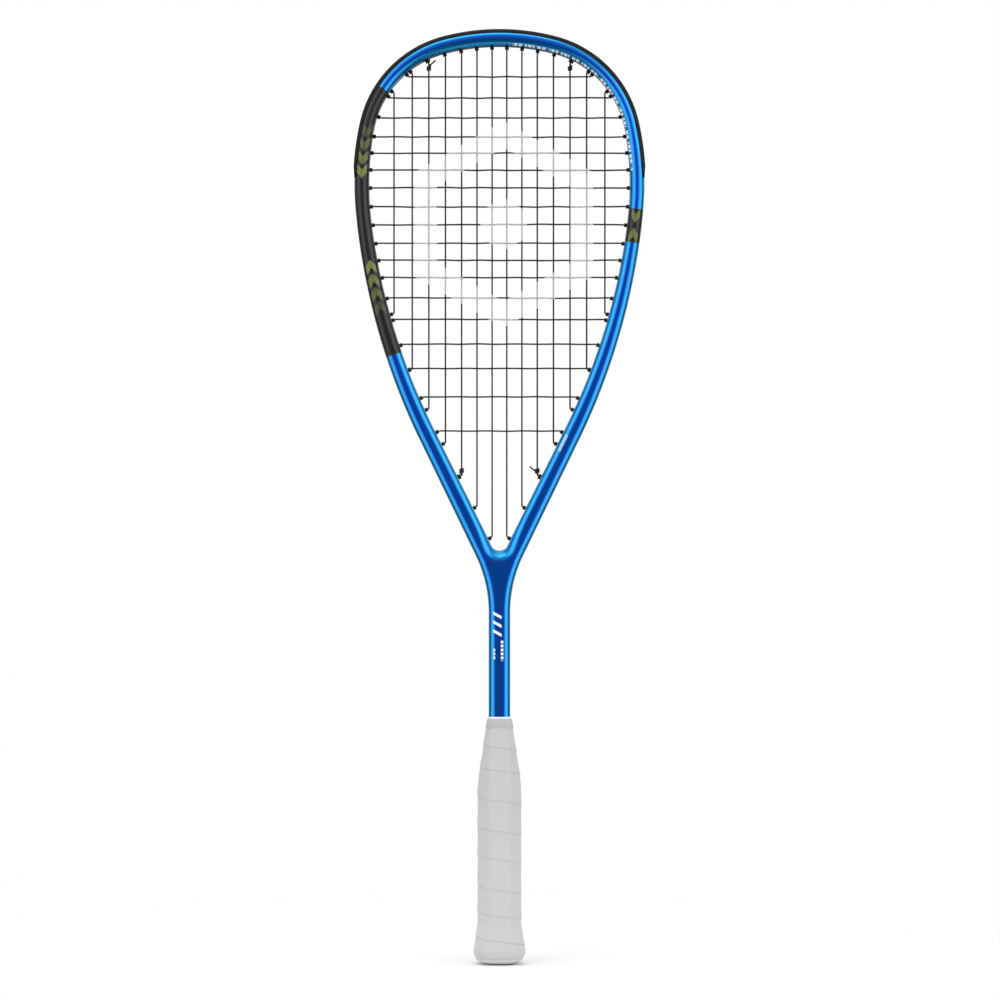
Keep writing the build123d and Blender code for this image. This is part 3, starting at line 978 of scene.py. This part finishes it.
def cross_line():
    """The crosswise string: tied at the top right, side to side, tied at the bottom."""
    top, foot = TOPS[TOP_KNOT_MAIN], FEET[BOTTOM_KNOT_MAIN]
    run = StringRun()
    run.turn(spot(top.corner + top.heading, 1, -LAYER))
    run.turn(spot(top.exit, 1, -LAYER))
    run.groove(top, ENDS[0], 1, -LAYER)
    side = 1
    for i, hole in enumerate(ENDS):
        bed = cross_bed(i) if side < 0 else cross_bed(i)[::-1]
        run.cross((side, -side), hole, bed, hole, -LAYER)
        side = -side
        if i < len(ENDS) - 1:
            run.groove(hole, ENDS[i + 1], side, -LAYER)
    run.groove(ENDS[-1], foot, side, -LAYER)
    run.turn(spot(foot.exit, side, -LAYER))
    run.turn(spot(foot.corner + foot.heading, side, -LAYER))
    return run.line()


def knot(name, hole, side, along, tip_y, cut_end):
    """String from a barrel's mouth, wound round the run beside it and cut off."""
    start = spot(hole.corner, side, LAYER)
    wide = 2 * STRING_RADIUS + 0.03
    line = [spot(hole.corner + hole.heading * 0.6, side, tip_y),
            start + np.array([wide * 0.3, (tip_y - LAYER) * 0.8, along * 0.9])]
    phase = math.atan2(tip_y - LAYER, 0.3)
    for k in range(KNOT_TURNS * KNOT_STEPS + 1):
        angle = phase + 2 * math.pi * k / KNOT_STEPS
        swell = wide + KNOT_SWELL * math.sin(k * KNOT_SWELL_RATE)
        lift = along * (1.7 + KNOT_PITCH * k / KNOT_STEPS)
        line.append(start + np.array([swell * math.cos(angle), swell * math.sin(angle), lift]))
    over = start + np.array([-wide * 0.2, -wide - 1.0, along * 2.2])
    line += [(line[-1] + over) / 2 + np.array([0.0, -0.8, 0.0]), over]
    if cut_end is None:
        line.append(over + np.array([side * 0.6, 0.3, -along * 0.9]))
    else:
        ahead = np.array(cut_end)
        droop = np.array([0.0, -0.12, 0.25])
        line += [over + ahead * d + droop * (d / 6.5) ** 2 * 2 for d in (1.2, 2.6, 4.0, 5.4, 6.6)]
    return string_mesh(name, line)


# ---------------------------------------- handle
GRIP_PROFILE = (
    (4.2, 17.4, 15.4, 8.4), (5.2, 18.1, 16.1, 8.4), (6.5, 18.6, 16.5, 8.4),
    (9.5, 19.2, 17.0, 8.4), (12.0, 18.9, 16.7, 8.4), (15.0, 18.1, 15.9, 8.4),
    (19.0, 17.6, 15.4, 8.4), (24.0, 17.0, 14.8, 8.4), (29.0, 16.2, 14.0, 8.4),
    (60.0, 16.0, 13.8, 8.4), (124.0, 16.0, 13.8, 8.4), (130.0, 15.9, 13.8, 8.3),
    (140.0, 14.9, 13.4, 7.4), (150.0, 13.3, 12.8, 6.2), (160.0, 11.9, 12.1, 5.1),
    (168.0, 10.7, 11.5, 4.3), (174.0, 9.8, 11.0, 3.8),
)
OVERLAPS = (-4.0, 17.0, 35.5, 54.5, 77.0, 97.5, 120.0, 142.0, 159.0, 176.0, 194.0)
LAP_ROWS = (0.0, 0.012, 0.025, 0.045, 0.075, 0.12, 0.19, 0.28, 0.37, 0.46, 0.56, 0.66, 0.76,
            0.86, 0.94, 0.985)
OVERLAP_STEP, OVERLAP_TUCK, OVERLAP_ROUND = 0.32, 0.16, 0.06
GRIP_WALL = 1.3
GRIP_INSIDE = (GRIP_TOP, 130.0, 60.0, 24.0, 9.5, GRIP_BOTTOM)
FRONT_EASE = 0.42
COLUMNS = 96
CORNER_POWER = 30
TAPE_CUT = 3.3
TAPE_RINGS = (
    (173.6, 10.05, 11.2), (173.9, 10.25, 11.35), (176.4, 9.55, 10.75), (176.7, 9.7, 10.85),
    (179.2, 8.95, 10.25), (180.9, 8.6, 10.1), (181.3, 8.55, 10.05), (TAPE_TOP, 8.4, 9.95),
    (181.4, 8.05, 9.6), (174.3, 8.1, 9.65), (174.1, 9.6, 10.8),
)
CAP_SOCKET = ((4.2, 14.5, 12.3, 7.4), (24.0, 14.5, 12.3, 7.4))
CAP_CUT = 0.55
CAP_RINGS = (
    (24.0, 15.2, 13.0), (24.0, 15.9, 13.6), (15.0, 16.3, 14.1), (12.0, 17.2, 15.0),
    (9.5, 17.5, 15.3), (5.0, 16.2, 14.2), (4.25, 16.9, 14.9), (3.9, 17.25, 15.25),
    (3.0, 16.75, 14.75), (1.9, 15.6, 13.6), (1.0, 13.9, 12.0), (0.45, 12.2, 10.3),
    (0.15, 10.6, 8.9), (0.0, 9.4, 7.9), (0.0, 8.6, 7.2), (0.35, 8.3, 7.0), (0.6, 7.8, 6.6),
    (0.65, 6.4, 5.4), (0.4, 6.1, 5.1), (0.15, 5.8, 4.9), (0.15, 5.2, 4.4), (0.4, 4.9, 4.1),
    (0.65, 4.6, 3.9), (0.7, 2.4, 2.0),
)


def between(table, height):
    """Values of a table of (height, ...) rows, on straight lines between its rows."""
    heights, *columns = zip(*table)
    return [float(np.interp(height, heights, column)) for column in columns]


def turned(k):
    """Angle of a column round the handle; 0 faces the front."""
    return 2 * math.pi * k / COLUMNS - math.pi


def octagon(angle, wide, deep, cut):
    """Point of a soft-cornered octagon; the angle grows to the left."""
    x, y = -math.sin(angle), -math.cos(angle)
    diagonal = wide + deep - cut
    terms = (abs(x) / wide, abs(y) / deep, (abs(x) + abs(y)) / diagonal)
    reach = sum(term**CORNER_POWER for term in terms) ** (-1 / CORNER_POWER)
    return np.array([x * reach, y * reach])


def stitched(first, second, length=COLUMNS):
    """Faces between two rows of so many points that start at two indices."""
    faces = []
    for k in range(COLUMNS):
        after = (k + 1) % length
        faces.append((first + k, second + k, second + after, first + after))
    return faces


def stacked(rings, start=0):
    """Points and faces of a skin through (height, wide, deep, cut) rings."""
    verts, faces = [], []
    for i, (height, wide, deep, cut) in enumerate(rings):
        verts += [(*octagon(turned(k), wide, deep, cut), height) for k in range(COLUMNS)]
        if i:
            faces += stitched(start + (i - 1) * COLUMNS, start + i * COLUMNS)
    return verts, faces


def overlap_height(turn):
    """Height at which the wrap's edge passes, for a number of turns from the cap."""
    index = min(max(int(math.floor(turn)), 0), len(OVERLAPS) - 2)
    return OVERLAPS[index] + (OVERLAPS[index + 1] - OVERLAPS[index]) * (turn - index)


def overlap_rise(share):
    """How far the wrap stands out, for a share of the way from one edge to the next."""
    step = OVERLAP_STEP * smooth_step(share, 0.0, 0.03) * (1 - smooth_step(share, 0.05, 0.42))
    tuck = OVERLAP_TUCK * smooth_step(share, 0.90, 1.0)
    return step - tuck - OVERLAP_ROUND * (1 - smooth_step(share, 0.0, 0.02))


def grip_mesh():
    """Cushioned wrap wound up the handle, each turn stepping over the one below."""
    laps = len(OVERLAPS) - 1
    rows = [(lap, share) for lap in range(-1, laps) for share in LAP_ROWS]
    wobble = [random.uniform(-0.5, 0.5) for _ in range(laps + 2)]
    verts, seam, faces = [], [], []
    for lap, share in rows:
        for k in range(COLUMNS + 1):
            angle = turned(k)
            turn = lap + share + (angle - FRONT_EASE * math.sin(angle)) / (2 * math.pi)
            uneven = wobble[lap + 1] * math.sin(angle * 2 + lap) * (1 + math.cos(angle)) / 2
            height = min(max(overlap_height(turn) + 0.6 * uneven, GRIP_BOTTOM), GRIP_TOP)
            x, y = octagon(angle, *between(GRIP_PROFILE, height))
            fade = smooth_step(height, GRIP_BOTTOM, GRIP_BOTTOM + 8)
            fade *= 1 - smooth_step(height, GRIP_TOP - 4, GRIP_TOP)
            scale = 1 + overlap_rise(share) * fade / math.hypot(x, y)
            verts.append((x * scale, y * scale, height))
            seam.append(1 - smooth_step(min(share, 1 - share), 0.0, 0.05))
    row_length = COLUMNS + 1
    for i in range(len(rows) - 1):
        faces += stitched(i * row_length, (i + 1) * row_length, row_length)
    rings = []
    for height, inset in ((GRIP_TOP, 0.0), *((z, GRIP_WALL) for z in GRIP_INSIDE), (GRIP_BOTTOM, 0.0)):
        wide, deep, cut = between(GRIP_PROFILE, height)
        rings.append((height, wide - inset, deep - inset, cut))
    inner_verts, inner_faces = stacked(rings, len(verts))
    verts += inner_verts
    seam += [0.0] * len(inner_verts)
    piece = object_from("grip_wrap_skin", verts, faces + inner_faces, (("seam", seam),))
    weld(piece, 0.00001)
    return sharpen(piece, 50)


def tape_mesh():
    """Thin finishing tape over the wrap's end, wound twice, edges lapped."""
    verts, faces = stacked([(*row, TAPE_CUT) for row in TAPE_RINGS])
    faces += stitched((len(TAPE_RINGS) - 1) * COLUMNS, 0)
    return sharpen(object_from("finishing_tape_skin", verts, faces), 50)


def cap_mesh():
    """Rubber end cap: socket, bulged rim, shallow domed end with a plain raised ring."""
    outside = [(height, wide, deep, CAP_CUT * deep) for height, wide, deep in CAP_RINGS]
    verts, faces = stacked([*CAP_SOCKET, *outside])
    faces.append(list(reversed(range(COLUMNS))))
    faces.append([len(verts) - COLUMNS + k for k in range(COLUMNS)])
    piece = object_from("butt_cap_skin", verts, faces)
    weld(piece, 0.00002)
    return sharpen(piece, 55)


# ---------------------------------------- pieces
def add_piece(piece, material, node):
    """Give a piece its material, and let it stand for a CAD node."""
    piece.data.materials.append(material)
    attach(piece, "root")
    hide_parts(node)
    return piece


def paint_node(node, material):
    """Give a CAD node a better material."""
    for holder in frame["nodes"][node].material_slots:
        holder.material = material


add_piece(frame_mesh(), frame_paint(), "frame_shell")
bumper_nylon = moulded("bumper_nylon", (0.006, 0.006, 0.007), 0.46, 1.4, 0.35, 0.16)
grommet_nylon = moulded("grommet_nylon", (0.008, 0.008, 0.009), 0.45, 2.0, 0.2, 0.3)
paint_node("bumper_guard", bumper_nylon)
for place in ("grommet_strip", "throat_grommet"):
    for side in ("left", "right"):
        paint_node(f"{place}_{side}", grommet_nylon)

coat = string_coat()
main_string = string_mesh("main_string_woven", main_line())
add_piece(main_string, coat, "main_string")
cross_string = string_mesh("cross_string_woven", cross_line())
add_piece(cross_string, coat, "cross_string")
for name, hole, side, along, tip_y, cut_end in (
    ("knot_top_left", TOPS[TOP_KNOT_MAIN], -1, -1, -LAYER, (0.8, 0.0, 0.6)),
    ("knot_top_right", TOPS[TOP_KNOT_MAIN], 1, -1, -LAYER, None),
    ("knot_bottom_left", FEET[BOTTOM_KNOT_MAIN], -1, 1, TAIL_LAYER, None),
    ("knot_bottom_right", FEET[BOTTOM_KNOT_MAIN], 1, 1, TAIL_LAYER, (-0.8, 0.0, 0.6)),
):
    tied = knot(name + "_tied", hole, side, along, tip_y, cut_end)
    add_piece(tied, coat, name)

wrap = add_piece(grip_mesh(), wrap_cloth("grip_cloth", (0.455, 0.457, 0.453), (0.33, 0.33, 0.32)),
                 "grip_wrap")
add_piece(tape_mesh(), tape_film(), "finishing_tape")
add_piece(cap_mesh(), cap_rubber(), "butt_cap")
handle_foam = foam()
for node in ("handle_half_left", "handle_half_right"):
    paint_node(node, handle_foam)
paint_node("butt_cap_staples", steel())


# ---------------------------------------- stage, light, camera
PANEL_GAP = (0.16, 0.46)
PANEL_BACK = (-0.10, 0.40)
PANEL_TOP = (0.40, 0.75)
PANEL_LEFT, PANEL_RIGHT = 1.45, 1.70
PANEL_BEHIND = 0.5
CEILING = 0.45
ZENITH = 0.9
SURROUND = 0.13
KEY_PLACE, KEY_SIZE, KEY_POWER = (-0.4, -0.6, 2.2), 1.6, 8
FLOOR_RADIUS, FLOOR_DROP, FLOOR_FADE = 0.6, 0.0005, (0.10, 0.55)
CAMERA_PLACE, CAMERA_FIELD = (0.0004, -3.0, 0.3404), 0.7351


def world():
    """Studio surround: bright panels left and right of the camera, weaker ones behind the
    racket, a soft ceiling brightest overhead, and a dark gap where the camera looks in.
    The camera itself sees plain white."""
    made = bpy.data.worlds.new("studio")
    bpy.context.scene.world = made
    n = Nodes("studio", made)
    x, y, z = n.split(n.coordinates("Generated"))
    side = n.step(n.size(x), *PANEL_GAP)
    front = n.step(n.times(y, -1.0), *PANEL_BACK)
    behind = n.times(n.step(y, 0.35, 0.75), PANEL_BEHIND)
    level = n.invert(n.step(n.size(z), *PANEL_TOP))
    balance = n.spread(n.step(x, -0.3, 0.3), PANEL_LEFT, PANEL_RIGHT)
    panel = n.times(side, n.plus(front, behind), level, balance)
    above = n.times(n.step(z, 0.0, 0.35), CEILING)
    zenith = n.times(n.step(z, 0.70, 0.95), ZENITH)
    mixed = n.new("Mix")
    n.link(n.new("LightPath").outputs["Is Camera Ray"], mixed.inputs["Factor"])
    n.link(n.plus(panel, above, zenith, SURROUND), mixed.inputs[2])
    mixed.inputs[3].default_value = 1.0
    n.feed("Strength", mixed.outputs[0])
    n.feed("Color", (1.0, 1.0, 1.0, 1.0))


def key_light():
    """A large soft lamp above and in front of the racket, aimed at the butt."""
    light = bpy.data.lights.new("key", "AREA")
    light.shape = "SQUARE"
    light.size = KEY_SIZE
    light.energy = KEY_POWER
    holder = bpy.data.objects.new("key", light)
    holder.location = KEY_PLACE
    holder.rotation_euler = (-Vector(KEY_PLACE)).to_track_quat("-Z", "Y").to_euler()
    bpy.context.scene.collection.objects.link(holder)


def stage():
    """A pale round of floor that fades out, so that no horizon shows."""
    work = bmesh.new()
    bmesh.ops.create_circle(work, cap_ends=True, segments=96, radius=FLOOR_RADIUS)
    mesh = bpy.data.meshes.new("floor")
    work.to_mesh(mesh)
    work.free()
    floor = bpy.data.objects.new("floor", mesh)
    floor.location = (0, 0, -FLOOR_DROP)
    bpy.context.scene.collection.objects.link(floor)
    n = Nodes("floor_paper")
    length = n.new("VectorMath", operation="LENGTH")
    n.link(n.coordinates("Object"), length.inputs[0])
    n.feed("Alpha", n.invert(n.step(length.outputs["Value"], *FLOOR_FADE)))
    n.feed("Base Color", (0.90, 0.90, 0.90, 1.0))
    n.feed("Roughness", 0.9)
    mesh.materials.append(n.material)


def camera():
    """Far enough off for the photo's flat view, level, facing the string face."""
    data = bpy.data.cameras.new("camera")
    data.lens = data.sensor_width * -CAMERA_PLACE[1] / CAMERA_FIELD
    data.clip_end = 30
    holder = bpy.data.objects.new("camera", data)
    bpy.context.scene.collection.objects.link(holder)
    holder.location = CAMERA_PLACE
    holder.rotation_euler = (math.pi / 2, 0, 0)
    bpy.context.scene.camera = holder


world()
stage()
key_light()
camera()
bpy.context.scene.view_settings.view_transform = "Standard"
